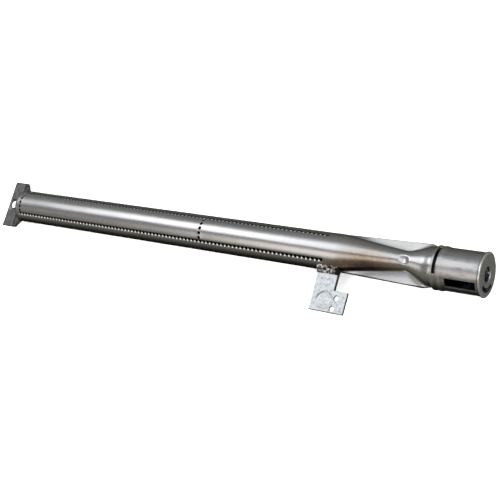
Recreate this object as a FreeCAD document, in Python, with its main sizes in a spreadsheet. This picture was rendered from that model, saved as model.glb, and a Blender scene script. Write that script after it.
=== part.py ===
import FreeCAD, Part
import math
import os

import Sketcher
from FreeCAD import Placement, Rotation, Vector

# Tube burner with a pinched tail, two rows of ports, a pressed venturi and an air shutter that
# turns on the mixer end.
# Frame: +X out of the gas inlet along the tube, +Z up through the middle of the port rows,
# origin on the tube axis in the middle of the rim. Angles are turned from +Z towards -Y.

SHEET = "Dims"

# Driving dimensions: millimetres, degrees or counts.
DIMENSIONS = [
    ("tube_radius", 12.7),
    ("tube_wall", 0.8),
    # pinched tail
    ("tail_end_x", -415.5),
    ("tail_flat_x", -403.6),
    ("tail_round_x", -396.0),
    ("tail_width", 38.4),
    ("tail_hole_x", -410.4),
    ("tail_hole_radius", 3.2),
    ("tail_split_degrees", 80.0),
    ("tail_cavity_x", -403.0),
    ("tail_cavity_height", 0.3),
    # gas ports
    ("port_radius", 0.85),
    ("port_pitch", 3.3),
    ("port_count", 87),
    ("port_first_x", -390.4),
    ("port_row_degrees", 43.4),
    ("cross_port_count", 5),
    ("cross_port_span_degrees", 63.2),
    ("cross_port_mid_x", -206.5),
    # venturi: start, throat, end and neck
    ("venturi_start_x", -95.4),
    ("venturi_throat_x", -48.9),
    ("venturi_end_x", -35.9),
    ("venturi_neck_x", -31.9),
    ("dimple_x", -49.3),
    ("dimple_y", -0.8),
    ("dimple_ball_radius", 6.5),
    ("dimple_depth", 0.9),
    ("dimple_backing_radius", 3.9),
    # rim and end wall of the mixer, with the gas inlet collar and a crescent air gap
    ("rim_outer_radius", 14.2),
    ("rim_inner_radius", 11.2),
    ("rim_back_x", -0.2),
    ("rim_front_x", 1.6),
    ("rim_corner_radius", 0.8),
    ("end_wall_back_x", 0.7),
    ("end_wall_front_x", 1.5),
    ("end_wall_radius", 12.0),
    ("inlet_radius", 5.0),
    ("inlet_collar_radius", 5.8),
    ("inlet_collar_back_x", -0.6),
    ("crescent_inner_radius", 8.0),
    ("crescent_outer_radius", 10.8),
    ("crescent_start_degrees", 62.0),
    ("crescent_sweep_degrees", 94.0),
    # air windows through the tube
    ("window_middle_degrees", 54.5),
    ("window_rear_x", -21.3),
    ("window_front_x", -1.6),
    ("window_height", 6.4),
    ("window_corner_radius", 0.8),
    # air shutter
    ("shutter_inner_radius", 12.78),
    ("shutter_outer_radius", 13.45),
    ("shutter_band_radius", 13.9),
    ("shutter_rear_x", -30.4),
    ("shutter_band_x", -24.6),
    ("shutter_front_x", -0.5),
    ("shutter_window_rear_x", -20.9),
    ("shutter_window_front_x", -1.4),
    ("shutter_window_height", 7.0),
    ("slot_rear_x", -29.0),
    ("slot_front_x", -26.9),
    ("slot_start_degrees", -58.0),
    ("slot_sweep_degrees", 88.0),
    # side bracket
    ("bracket_rear_x", -109.9),
    ("bracket_strip_x", -94.3),
    ("bracket_foot_x", -84.5),
    ("bracket_inner_y", -11.6),
    ("bracket_notch_y", -26.2),
    ("bracket_outer_y", -40.8),
    ("bracket_bottom_z", 1.5),
    ("bracket_thickness", 1.5),
    ("emboss_x", -100.0),
    ("emboss_y", -33.3),
    ("emboss_radius", 5.7),
    ("emboss_depth", 0.4),
    ("bracket_hole_radius", 1.75),
    ("bracket_hole_a_x", -91.9),
    ("bracket_hole_a_y", -30.8),
    ("bracket_hole_b_x", -93.3),
    ("bracket_hole_b_y", -38.0),
    # weld between tube and bracket
    ("weld_rear_x", -110.6),
    ("weld_length", 17.0),
    ("weld_top_degrees", 60.5),
    ("weld_toe_y", -15.8),
    ("weld_crown", 0.55),
    ("weld_ripple_count", 6),
    ("weld_ripple_width", 1.1),
    ("weld_ripple_height", 0.35),
]

# Venturi cross-sections: valley point, outer corner of the flat fin and ridge height.
THROAT = {"valley_y": 6.1, "valley_z": 1.9, "fin_y": 14.1, "fin_z": 1.1, "ridge_z": 10.9}
END = {"valley_y": 12.6, "valley_z": 2.0, "fin_y": 14.4, "fin_z": 1.2, "ridge_z": 11.6}
# angles on the round sections that meet the valley and the fin's corner
START_SPLITS = (79.0, 82.0)
NECK_SPLITS = (83.0, 86.0)

doc = FreeCAD.newDocument("burner_assembly")


def number(alias):
    """Value of one driving dimension."""
    return dict(DIMENSIONS)[alias]


def make_sheet():
    """Write every driving dimension into a spreadsheet with its alias."""
    sheet = doc.addObject("Spreadsheet::Sheet", SHEET)
    for row, (alias, value) in enumerate(DIMENSIONS, start=1):
        sheet.set("A%d" % row, alias)
        sheet.set("B%d" % row, str(value))
        sheet.setAlias("B%d" % row, alias)
    doc.recompute()
    return sheet


def origin_feature(body, role):
    """Plane or axis of a body's origin, by role."""
    for feature in body.Origin.OriginFeatures:
        if feature.Role == role:
            return feature
    raise ValueError(role)


def new_sketch(body, role, name, turn_degrees=0.0, offset_alias=None):
    """Sketch on an origin plane, turned about its local X axis or moved along its normal."""
    sketch = body.newObject("Sketcher::SketchObject", name)
    sketch.AttachmentSupport = [(origin_feature(body, role), "")]
    sketch.MapMode = "FlatFace"
    sketch.AttachmentOffset = Placement(Vector(0, 0, 0), Rotation(Vector(1, 0, 0), turn_degrees))
    if offset_alias:
        sketch.setExpression("AttachmentOffset.Base.z", "%s.%s" % (SHEET, offset_alias))
    return sketch


def bind(sketch, index, formula):
    """Drive one sketch constraint from the spreadsheet."""
    sketch.setExpression("Constraints[%d]" % index, formula.replace("$", SHEET + "."))


def drive(sketch, formula, *constraint):
    """Add one constraint and drive it from the spreadsheet."""
    bind(sketch, sketch.addConstraint(Sketcher.Constraint(*constraint)), formula)


def add_circle(sketch, x, y, radius, x_formula, y_formula, radius_formula):
    """Circle with its centre and radius driven by formulas; a formula of None means zero."""
    circle = sketch.addGeometry(Part.Circle(Vector(x, y, 0), Vector(0, 0, 1), radius), False)
    drive(sketch, radius_formula, "Radius", circle, radius)
    if x_formula is None and y_formula is None:
        sketch.addConstraint(Sketcher.Constraint("Coincident", circle, 3, -1, 1))
        return
    if x_formula is None:
        sketch.addConstraint(Sketcher.Constraint("PointOnObject", circle, 3, -2))
    else:
        drive(sketch, x_formula, "DistanceX", -1, 1, circle, 3, x)
    if y_formula is None:
        sketch.addConstraint(Sketcher.Constraint("PointOnObject", circle, 3, -1))
    else:
        drive(sketch, y_formula, "DistanceY", -1, 1, circle, 3, y)


def add_polygon(sketch, corners):
    """Closed polygon; each corner is (x, y, x_formula, y_formula)."""
    points = [Vector(corner[0], corner[1], 0) for corner in corners]
    lines = []
    for index, point in enumerate(points):
        following = points[(index + 1) % len(points)]
        lines.append(sketch.addGeometry(Part.LineSegment(point, following), False))
    for index, line in enumerate(lines):
        following = lines[(index + 1) % len(lines)]
        sketch.addConstraint(Sketcher.Constraint("Coincident", line, 2, following, 1))
    for line, (x, y, x_formula, y_formula) in zip(lines, corners):
        drive(sketch, x_formula, "DistanceX", -1, 1, line, 1, x)
        drive(sketch, y_formula, "DistanceY", -1, 1, line, 1, y)


def add_rounded_box(sketch, low, high, corner):
    """Closed rectangle with round corners, given by two opposite corners."""
    sides = []
    for start, direction, length in (
        (Vector(low[0] + corner, low[1], 0), Vector(1, 0, 0), high[0] - low[0]),
        (Vector(high[0], low[1] + corner, 0), Vector(0, 1, 0), high[1] - low[1]),
        (Vector(high[0] - corner, high[1], 0), Vector(-1, 0, 0), high[0] - low[0]),
        (Vector(low[0], high[1] - corner, 0), Vector(0, -1, 0), high[1] - low[1]),
    ):
        sides.append((start, start + direction * (length - 2.0 * corner), direction))
    for index, (start, stop, direction) in enumerate(sides):
        following, _, turned = sides[(index + 1) % 4]
        sketch.addGeometry(Part.LineSegment(start, stop), False)
        centre = stop + turned * corner
        middle = centre + (direction - turned) * (corner * 0.5 ** 0.5)
        sketch.addGeometry(Part.Arc(stop, middle, following), False)


def pad(body, sketch, name, length_formula, reversed_way=False):
    """Pad a sketch by a driven length."""
    feature = body.newObject("PartDesign::Pad", name)
    feature.Profile = sketch
    feature.Reversed = reversed_way
    feature.setExpression("Length", length_formula.replace("$", SHEET + "."))
    finish_feature(body, feature)
    return feature


def pocket(body, sketch, name, length_formula, reversed_way=False, both_ways=False):
    """Pocket a sketch by a driven length and make sure that it removed material."""
    before = body.Shape.Volume
    feature = body.newObject("PartDesign::Pocket", name)
    feature.Profile = sketch
    feature.Reversed = reversed_way
    feature.Midplane = both_ways
    feature.setExpression("Length", length_formula.replace("$", SHEET + "."))
    finish_feature(body, feature)
    check_removed(body, before, name)
    return feature


def finish_feature(body, feature):
    """Make a feature the body's tip and rebuild."""
    body.Tip = feature
    doc.recompute()


def check_removed(body, volume_before, name):
    """Stop if a cut left the volume as it was."""
    if body.Shape.Volume > volume_before - 1e-3:
        raise RuntimeError("%s removed nothing" % name)


def revolve(body, sketch, name, kind="PartDesign::Revolution", angle_formula=None, reversed_way=False):
    """Turn a sketch about its own horizontal axis, which lies on the tube axis."""
    feature = body.newObject(kind, name)
    feature.Profile = sketch
    feature.ReferenceAxis = (sketch, ["H_Axis"])
    feature.Reversed = reversed_way
    feature.Angle = 360.0
    if angle_formula:
        feature.setExpression("Angle", angle_formula.replace("$", SHEET + "."))
    finish_feature(body, feature)
    return feature


def polar(body, feature, name, count_formula, angle_formula):
    """Repeat a feature about the tube axis."""
    pattern = body.newObject("PartDesign::PolarPattern", name)
    pattern.Originals = [feature]
    pattern.Axis = (origin_feature(body, "X_Axis"), [""])
    pattern.setExpression("Occurrences", count_formula.replace("$", SHEET + "."))
    pattern.setExpression("Angle", angle_formula.replace("$", SHEET + "."))
    finish_feature(body, pattern)
    return pattern


def along_tube(body, feature, name, count_formula, length_formula):
    """Repeat a feature along the tube axis."""
    pattern = body.newObject("PartDesign::LinearPattern", name)
    pattern.Originals = [feature]
    pattern.Direction = (origin_feature(body, "X_Axis"), [""])
    pattern.setExpression("Length", length_formula.replace("$", SHEET + "."))
    pattern.setExpression("Occurrences", count_formula.replace("$", SHEET + "."))
    finish_feature(body, pattern)
    return pattern


def radial(radius, degrees):
    """Section-plane point (Y, Z) at an angle from +Z towards +Y."""
    turn = Rotation(Vector(0, 0, 1), -degrees)
    return turn.multVec(Vector(0, radius, 0))


def ridge_arc(valley_y, valley_z, ridge_z, sign):
    """Arc over the top (sign 1) or under the bottom (sign -1) between the two valleys."""
    left = Vector(-sign * valley_y, sign * valley_z, 0)
    right = Vector(sign * valley_y, sign * valley_z, 0)
    return Part.Arc(left, Vector(0, sign * ridge_z, 0), right)


def formed_section(body, name, offset_alias, shape):
    """Pressed section: two round ridges and two flat side fins, mirrored both ways."""
    sketch = new_sketch(body, "YZ_Plane", name, offset_alias=offset_alias)
    valley_y, valley_z = shape["valley_y"], shape["valley_z"]
    for sign in (1, -1):
        sketch.addGeometry(ridge_arc(valley_y, valley_z, shape["ridge_z"], sign), False)
        corners = [
            Vector(sign * valley_y, sign * valley_z, 0),
            Vector(sign * shape["fin_y"], sign * shape["fin_z"], 0),
            Vector(sign * shape["fin_y"], -sign * shape["fin_z"], 0),
            Vector(sign * valley_y, -sign * valley_z, 0),
        ]
        for start, stop in zip(corners, corners[1:]):
            sketch.addGeometry(Part.LineSegment(start, stop), False)
    return sketch


def round_section(body, name, offset_alias, radius, splits):
    """Circle split into arcs so that its corners match those of a formed section."""
    sketch = new_sketch(body, "YZ_Plane", name, offset_alias=offset_alias)
    stops = [-splits[0]]
    for middle in (0.0, 180.0):
        stops.extend([middle + split for split in splits])
        stops.extend([middle + 180.0 - split for split in reversed(splits)])
    for start, stop in zip(stops, stops[1:]):
        middle = radial(radius, 0.5 * (start + stop))
        sketch.addGeometry(Part.Arc(radial(radius, start), middle, radial(radius, stop)), False)
    return sketch


def slot_section(body, name, offset_alias, width, height):
    """Flattened tube: two straight walls joined by round ends."""
    sketch = new_sketch(body, "YZ_Plane", name, offset_alias=offset_alias)
    half = 0.5 * height
    reach = 0.5 * width - half
    upper_left, upper_right = Vector(-reach, half, 0), Vector(reach, half, 0)
    lower_left, lower_right = Vector(-reach, -half, 0), Vector(reach, -half, 0)
    sketch.addGeometry(Part.LineSegment(upper_left, upper_right), False)
    sketch.addGeometry(Part.Arc(upper_right, Vector(reach + half, 0, 0), lower_right), False)
    sketch.addGeometry(Part.LineSegment(lower_right, lower_left), False)
    sketch.addGeometry(Part.Arc(lower_left, Vector(-reach - half, 0, 0), upper_left), False)
    return sketch


def inner_shape(shape, wall):
    """Inside of a formed section: ridge arc, fin top and fin edge moved in by the wall."""
    rise = shape["ridge_z"] - shape["valley_z"]
    radius = (shape["valley_y"] ** 2 + rise ** 2) / (2.0 * rise)
    centre_z = shape["ridge_z"] - radius
    slope = (shape["fin_z"] - shape["valley_z"]) / (shape["fin_y"] - shape["valley_y"])
    base_z = shape["valley_z"] - slope * shape["valley_y"] - wall * (1.0 + slope ** 2) ** 0.5
    # the line z = base_z + slope * y meets the circle y^2 + (z - centre_z)^2 = (radius - wall)^2
    a = slope ** 2 + 1.0
    b = 2.0 * slope * (base_z - centre_z)
    c = (base_z - centre_z) ** 2 - (radius - wall) ** 2
    valley_y = (-b + (b * b - 4.0 * a * c) ** 0.5) / (2.0 * a)
    fin_y = shape["fin_y"] - wall
    return {
        "valley_y": valley_y,
        "valley_z": base_z + slope * valley_y,
        "fin_y": fin_y,
        "fin_z": base_z + slope * fin_y,
        "ridge_z": shape["ridge_z"] - wall,
    }


def loft(body, kind, name, sections):
    """Ruled loft through a list of section sketches."""
    feature = body.newObject(kind, name)
    feature.Profile = sections[0]
    feature.Sections = sections[1:]
    feature.Ruled = True
    finish_feature(body, feature)
    return feature


def venturi_sections(body, prefix, radius, throat, end):
    """Four sections from the burner tube through the throat to the neck."""
    return [
        round_section(body, prefix + "_start", "venturi_start_x", radius, START_SPLITS),
        formed_section(body, prefix + "_throat", "venturi_throat_x", throat),
        formed_section(body, prefix + "_end", "venturi_end_x", end),
        round_section(body, prefix + "_neck", "venturi_neck_x", radius, NECK_SPLITS),
    ]


def round_plug(body, name, start_alias, radius_formula, radius, length_formula, cut=False):
    """Round pad or pocket along the tube from one station."""
    sketch = new_sketch(body, "YZ_Plane", name + "_circle", offset_alias=start_alias)
    add_circle(sketch, 0, 0, radius, None, None, radius_formula)
    if cut:
        return pocket(body, sketch, name, length_formula, reversed_way=True)
    return pad(body, sketch, name, length_formula)


def build_end_wall(body):
    """End wall in the rim: a disc, the collar of the gas inlet and a crescent air gap."""
    back, front = number("end_wall_back_x"), number("end_wall_front_x")
    wall = new_sketch(body, "YZ_Plane", "end_wall_circle", offset_alias="end_wall_back_x")
    add_circle(wall, 0, 0, number("end_wall_radius"), None, None, "$end_wall_radius")
    pad(body, wall, "end_wall", "$end_wall_front_x - $end_wall_back_x")
    collar = new_sketch(body, "YZ_Plane", "inlet_collar_circle", offset_alias="inlet_collar_back_x")
    add_circle(collar, 0, 0, number("inlet_collar_radius"), None, None, "$inlet_collar_radius")
    pad(body, collar, "inlet_collar", "0.5 * ($end_wall_front_x + $end_wall_back_x) - $inlet_collar_back_x")
    inlet = new_sketch(body, "YZ_Plane", "inlet_circle", offset_alias="inlet_collar_back_x")
    add_circle(inlet, 0, 0, number("inlet_radius"), None, None, "$inlet_radius")
    pocket(body, inlet, "inlet", "$end_wall_front_x - $inlet_collar_back_x + 1", reversed_way=True)

    gap = new_sketch(body, "XZ_Plane", "crescent_profile", turn_degrees=number("crescent_start_degrees"))
    low, high = number("crescent_inner_radius"), number("crescent_outer_radius")
    add_polygon(gap, [
        (back - 1.0, low, "$end_wall_back_x - 1", "$crescent_inner_radius"),
        (front + 1.0, low, "$end_wall_front_x + 1", "$crescent_inner_radius"),
        (front + 1.0, high, "$end_wall_front_x + 1", "$crescent_outer_radius"),
        (back - 1.0, high, "$end_wall_back_x - 1", "$crescent_outer_radius"),
    ])
    before = body.Shape.Volume
    revolve(body, gap, "crescent", kind="PartDesign::Groove", angle_formula="$crescent_sweep_degrees")
    check_removed(body, before, "crescent")


def build_tube():
    """Burner tube: formed shell first, then ports, windows, dimple and tail hole."""
    body = doc.addObject("PartDesign::Body", "burner_tube")
    body.Label = "burner_tube"
    radius = number("tube_radius")
    wall = number("tube_wall")
    inside = radius - wall
    cavity_half = number("tail_width") - 2.0 * (wall + number("tail_cavity_height"))

    # outside
    round_plug(body, "run", "tail_round_x", "$tube_radius", radius, "$venturi_start_x - $tail_round_x")
    loft(body, "PartDesign::AdditiveLoft", "venturi", venturi_sections(body, "venturi", radius, THROAT, END))
    round_plug(body, "mixer", "venturi_neck_x", "$tube_radius", radius, "0 - $venturi_neck_x")
    tail = round_section(body, "tail_round", "tail_round_x", radius, [number("tail_split_degrees")])
    flat = slot_section(body, "tail_flat", "tail_flat_x", number("tail_width"), 2.0 * wall)
    loft(body, "PartDesign::AdditiveLoft", "tail_swage", [tail, flat])
    tab = slot_section(body, "tail_tab_outline", "tail_flat_x", number("tail_width"), 2.0 * wall)
    pad(body, tab, "tail_tab", "$tail_flat_x - $tail_end_x", reversed_way=True)

    # inside
    round_plug(body, "run_bore", "tail_round_x", "$tube_radius - $tube_wall", inside,
               "$venturi_start_x - $tail_round_x", cut=True)
    before = body.Shape.Volume
    loft(body, "PartDesign::SubtractiveLoft", "venturi_bore",
         venturi_sections(body, "venturi_in", inside, inner_shape(THROAT, wall), inner_shape(END, wall)))
    check_removed(body, before, "venturi_bore")
    round_plug(body, "mixer_bore", "venturi_neck_x", "$tube_radius - $tube_wall", inside,
               "0 - $venturi_neck_x", cut=True)
    before = body.Shape.Volume
    tail = round_section(body, "tail_in_round", "tail_round_x", inside, [number("tail_split_degrees")])
    flat = slot_section(body, "tail_in_flat", "tail_cavity_x", cavity_half, number("tail_cavity_height"))
    loft(body, "PartDesign::SubtractiveLoft", "tail_bore", [tail, flat])
    check_removed(body, before, "tail_bore")

    # rolled rim
    rim = new_sketch(body, "XY_Plane", "rim_profile")
    add_rounded_box(
        rim,
        (number("rim_back_x"), number("rim_inner_radius")),
        (number("rim_front_x"), number("rim_outer_radius")),
        number("rim_corner_radius"),
    )
    revolve(body, rim, "rim")
    build_end_wall(body)

    # pressed dimple on the throat: a backing disc inside, then a ball cut from outside
    ridge_in = THROAT["ridge_z"] - wall
    backing = new_sketch(body, "XY_Plane", "dimple_backing_circle")
    backing.AttachmentOffset = Placement(Vector(0, 0, ridge_in - number("dimple_depth")), Rotation())
    add_circle(backing, number("dimple_x"), number("dimple_y"), number("dimple_backing_radius"),
               "$dimple_x", "$dimple_y", "$dimple_backing_radius")
    pad(body, backing, "dimple_backing", "$dimple_depth + 0.3 * $tube_wall")
    before = body.Shape.Volume
    ball = body.newObject("PartDesign::SubtractiveSphere", "dimple")
    ball.setExpression("Radius", "%s.dimple_ball_radius" % SHEET)
    ball.AttachmentSupport = [(origin_feature(body, "XY_Plane"), "")]
    ball.MapMode = "FlatFace"
    centre_z = THROAT["ridge_z"] - number("dimple_depth") + number("dimple_ball_radius")
    ball.AttachmentOffset = Placement(Vector(number("dimple_x"), number("dimple_y"), centre_z), Rotation())
    finish_feature(body, ball)
    check_removed(body, before, "dimple")

    # two rows of ports along the run
    for name, degrees in (("near", number("port_row_degrees")), ("far", -number("port_row_degrees"))):
        sketch = new_sketch(body, "XY_Plane", "port_%s_circle" % name, turn_degrees=degrees)
        add_circle(sketch, number("port_first_x"), 0, number("port_radius"),
                   "$port_first_x", None, "$port_radius")
        port = pocket(body, sketch, "port_%s" % name, "$tube_radius + 1", reversed_way=True)
        before = body.Shape.Volume
        along_tube(body, port, "port_%s_row" % name, "$port_count", "($port_count - 1) * $port_pitch")
        check_removed(body, before, "port row")

    # carry-over ports across the top, at the tail end and half-way
    for name, alias in (("tail", "port_first_x"), ("middle", "cross_port_mid_x")):
        half_span = 0.5 * number("cross_port_span_degrees")
        sketch = new_sketch(body, "XY_Plane", "cross_%s_circle" % name, turn_degrees=-half_span)
        add_circle(sketch, number(alias), 0, number("port_radius"), "$" + alias, None, "$port_radius")
        port = pocket(body, sketch, "cross_%s" % name, "$tube_radius + 1", reversed_way=True)
        before = body.Shape.Volume
        polar(body, port, "cross_%s_arc" % name, "$cross_port_count", "$cross_port_span_degrees")
        check_removed(body, before, "cross ports")

    # two opposite air windows
    sketch = new_sketch(body, "XY_Plane", "window_outline", turn_degrees=number("window_middle_degrees"))
    add_rounded_box(
        sketch,
        (number("window_rear_x"), -0.5 * number("window_height")),
        (number("window_front_x"), 0.5 * number("window_height")),
        number("window_corner_radius"),
    )
    window = pocket(body, sketch, "window", "$tube_radius + 1", reversed_way=True)
    polar(body, window, "window_pair", "2", "360")

    # hole through the pinched tail
    sketch = new_sketch(body, "XY_Plane", "tail_hole_circle")
    add_circle(sketch, number("tail_hole_x"), 0, number("tail_hole_radius"),
               "$tail_hole_x", None, "$tail_hole_radius")
    pocket(body, sketch, "tail_hole", "4 * $tube_wall", both_ways=True)
    return body


def build_shutter():
    """Air shutter: a thin sleeve with a raised rear band, an adjusting slot and two windows."""
    body = doc.addObject("PartDesign::Body", "air_shutter")
    body.Label = "air_shutter"
    profile = new_sketch(body, "XY_Plane", "sleeve_profile")
    bore = ("$shutter_inner_radius", number("shutter_inner_radius"))
    skin = ("$shutter_outer_radius", number("shutter_outer_radius"))
    band = ("$shutter_band_radius", number("shutter_band_radius"))
    rise = number("shutter_band_radius") - number("shutter_outer_radius")
    ramp_x = number("shutter_band_x") + rise
    add_polygon(profile, [
        (number("shutter_rear_x"), bore[1], "$shutter_rear_x", bore[0]),
        (number("shutter_front_x"), bore[1], "$shutter_front_x", bore[0]),
        (number("shutter_front_x"), skin[1], "$shutter_front_x", skin[0]),
        (ramp_x, skin[1], "$shutter_band_x + $shutter_band_radius - $shutter_outer_radius", skin[0]),
        (number("shutter_band_x"), band[1], "$shutter_band_x", band[0]),
        (number("shutter_rear_x"), band[1], "$shutter_rear_x", band[0]),
    ])
    revolve(body, profile, "sleeve")

    start = number("slot_start_degrees")
    sketch = new_sketch(body, "XZ_Plane", "slot_profile", turn_degrees=start)
    low = number("shutter_inner_radius") - 1.0
    high = number("shutter_band_radius") + 1.0
    add_polygon(sketch, [
        (number("slot_rear_x"), low, "$slot_rear_x", "$shutter_inner_radius - 1"),
        (number("slot_front_x"), low, "$slot_front_x", "$shutter_inner_radius - 1"),
        (number("slot_front_x"), high, "$slot_front_x", "$shutter_band_radius + 1"),
        (number("slot_rear_x"), high, "$slot_rear_x", "$shutter_band_radius + 1"),
    ])
    before = body.Shape.Volume
    revolve(body, sketch, "slot", kind="PartDesign::Groove", angle_formula="$slot_sweep_degrees")
    check_removed(body, before, "slot")

    middle = number("window_middle_degrees")
    sketch = new_sketch(body, "XY_Plane", "shutter_window_outline", turn_degrees=middle)
    add_rounded_box(
        sketch,
        (number("shutter_window_rear_x"), -0.5 * number("shutter_window_height")),
        (number("shutter_window_front_x"), 0.5 * number("shutter_window_height")),
        number("window_corner_radius"),
    )
    window = pocket(body, sketch, "shutter_window", "$shutter_band_radius + 1", reversed_way=True)
    polar(body, window, "shutter_window_pair", "2", "360")
    return body


def build_bracket():
    """Side bracket: L-shaped plate, coped to the tube, with an embossed disc and two holes."""
    body = doc.addObject("PartDesign::Body", "side_bracket")
    body.Label = "side_bracket"
    outline = new_sketch(body, "XY_Plane", "bracket_outline", offset_alias="bracket_bottom_z")
    corners = (
        ("bracket_rear_x", "bracket_inner_y"),
        ("bracket_rear_x", "bracket_outer_y"),
        ("bracket_foot_x", "bracket_outer_y"),
        ("bracket_foot_x", "bracket_notch_y"),
        ("bracket_strip_x", "bracket_notch_y"),
        ("bracket_strip_x", "bracket_inner_y"),
    )
    add_polygon(outline, [(number(x), number(y), "$" + x, "$" + y) for x, y in corners])
    pad(body, outline, "plate", "$bracket_thickness")

    sketch = new_sketch(body, "YZ_Plane", "cope_circle", offset_alias="bracket_rear_x")
    add_circle(sketch, 0, 0, number("tube_radius"), None, None, "$tube_radius")
    pocket(body, sketch, "cope", "$bracket_strip_x - $bracket_rear_x", reversed_way=True)

    sketch = new_sketch(body, "XY_Plane", "emboss_lower", offset_alias="bracket_bottom_z")
    add_circle(sketch, number("emboss_x"), number("emboss_y"), number("emboss_radius"),
               "$emboss_x", "$emboss_y", "$emboss_radius")
    pad(body, sketch, "emboss_boss", "$emboss_depth", reversed_way=True)
    sketch = new_sketch(body, "XY_Plane", "emboss_upper")
    sketch.setExpression("AttachmentOffset.Base.z",
                         "%s.bracket_bottom_z + %s.bracket_thickness" % (SHEET, SHEET))
    add_circle(sketch, number("emboss_x"), number("emboss_y"), number("emboss_radius"),
               "$emboss_x", "$emboss_y", "$emboss_radius")
    pocket(body, sketch, "emboss_recess", "$emboss_depth")

    sketch = new_sketch(body, "XY_Plane", "bracket_hole_circles", offset_alias="bracket_bottom_z")
    for letter in ("a", "b"):
        x_alias = "bracket_hole_%s_x" % letter
        y_alias = "bracket_hole_%s_y" % letter
        add_circle(sketch, number(x_alias), number(y_alias), number("bracket_hole_radius"),
                   "$" + x_alias, "$" + y_alias, "$bracket_hole_radius")
    pocket(body, sketch, "bracket_holes", "$bracket_thickness + 1", reversed_way=True)
    return body


def weld_profile(sketch, swell):
    """Fillet between the tube wall and the plate top, with its face crowned outwards."""
    radius = number("tube_radius")
    plate_z = number("bracket_bottom_z") + number("bracket_thickness")
    root = Vector(-(radius ** 2 - plate_z ** 2) ** 0.5, plate_z, 0)
    high = radial(radius, -number("weld_top_degrees"))
    toe = Vector(number("weld_toe_y"), plate_z, 0)
    chord = (high + toe) * 0.5
    outward = Vector(-(high.y - toe.y), high.x - toe.x, 0)
    outward.normalize()
    on_tube = radial(radius, -0.5 * (number("weld_top_degrees") + tube_angle(root)))
    sketch.addGeometry(Part.LineSegment(root, toe), False)
    sketch.addGeometry(Part.Arc(toe, chord + outward * swell, high), False)
    sketch.addGeometry(Part.Arc(high, on_tube, root), False)


def tube_angle(point):
    """Angle of a section-plane point from +Z."""
    return math.degrees(Vector(0, 1, 0).getAngle(point))


def build_weld():
    """Weld bead that joins the bracket to the tube."""
    body = doc.addObject("PartDesign::Body", "bracket_weld")
    body.Label = "bracket_weld"
    crown = number("weld_crown")
    sketch = new_sketch(body, "YZ_Plane", "weld_section", offset_alias="weld_rear_x")
    weld_profile(sketch, crown)
    pad(body, sketch, "weld_run", "$weld_length")
    sketch = new_sketch(body, "YZ_Plane", "ripple_section", offset_alias="weld_rear_x")
    weld_profile(sketch, crown + number("weld_ripple_height"))
    ripple = pad(body, sketch, "ripple", "$weld_ripple_width")
    along_tube(body, ripple, "ripples", "$weld_ripple_count", "$weld_length - $weld_ripple_width")
    return body


def check_objects():
    """Stop on any feature that did not build."""
    for item in doc.Objects:
        state = [word for word in item.State if word in ("Invalid", "Error")]
        if state:
            raise RuntimeError("%s: %s" % (item.Name, state))
    for body in doc.Objects:
        if body.TypeId == "PartDesign::Body":
            if body.Shape.isNull() or not body.Shape.isValid():
                raise RuntimeError("%s has no valid shape" % body.Label)


make_sheet()
BODIES = [build_tube(), build_shutter(), build_bracket(), build_weld()]
doc.recompute()
check_objects()
os.makedirs("parts", exist_ok=True)
for part_body in BODIES:
    part_body.Shape.exportStep("parts/%s.step" % part_body.Label)
    box = part_body.Shape.BoundBox
    print("%-14s solids %d volume %.0f x %.1f..%.1f y %.1f..%.1f z %.1f..%.1f" % (
        part_body.Label, len(part_body.Shape.Solids), part_body.Shape.Volume,
        box.XMin, box.XMax, box.YMin, box.YMax, box.ZMin, box.ZMax))
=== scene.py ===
import math

import bmesh
import bpy
from bpy.props import FloatProperty, FloatVectorProperty, PointerProperty
from mathutils import Euler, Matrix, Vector, noise


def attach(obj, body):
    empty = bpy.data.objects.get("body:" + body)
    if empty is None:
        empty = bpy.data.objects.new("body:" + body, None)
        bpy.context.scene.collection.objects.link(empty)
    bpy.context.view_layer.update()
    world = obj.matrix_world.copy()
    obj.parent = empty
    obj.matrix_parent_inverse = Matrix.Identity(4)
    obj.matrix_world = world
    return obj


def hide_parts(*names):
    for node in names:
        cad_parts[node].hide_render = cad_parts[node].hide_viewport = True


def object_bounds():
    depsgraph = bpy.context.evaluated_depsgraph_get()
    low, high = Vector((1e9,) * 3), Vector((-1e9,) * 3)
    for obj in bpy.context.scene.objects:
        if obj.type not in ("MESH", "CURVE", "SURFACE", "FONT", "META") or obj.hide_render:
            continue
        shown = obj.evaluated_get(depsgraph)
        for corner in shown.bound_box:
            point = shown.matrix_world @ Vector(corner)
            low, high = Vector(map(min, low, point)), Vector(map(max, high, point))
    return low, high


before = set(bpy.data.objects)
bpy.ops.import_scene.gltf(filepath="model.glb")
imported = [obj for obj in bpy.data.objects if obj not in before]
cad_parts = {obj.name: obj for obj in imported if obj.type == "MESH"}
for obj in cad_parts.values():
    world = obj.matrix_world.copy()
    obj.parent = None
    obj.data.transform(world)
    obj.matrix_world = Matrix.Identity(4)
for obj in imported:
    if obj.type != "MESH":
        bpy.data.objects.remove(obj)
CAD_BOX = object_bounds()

bl_info = {
    "name": "Tube burner parts",
    "version": (1, 0, 0),
    "blender": (4, 5, 0),
    "location": "View3D > Sidebar > Burner",
    "description": "Builds the visible pieces and finishes of a ported tube burner with an air shutter",
    "category": "Object",
}

MM = 0.001

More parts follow.
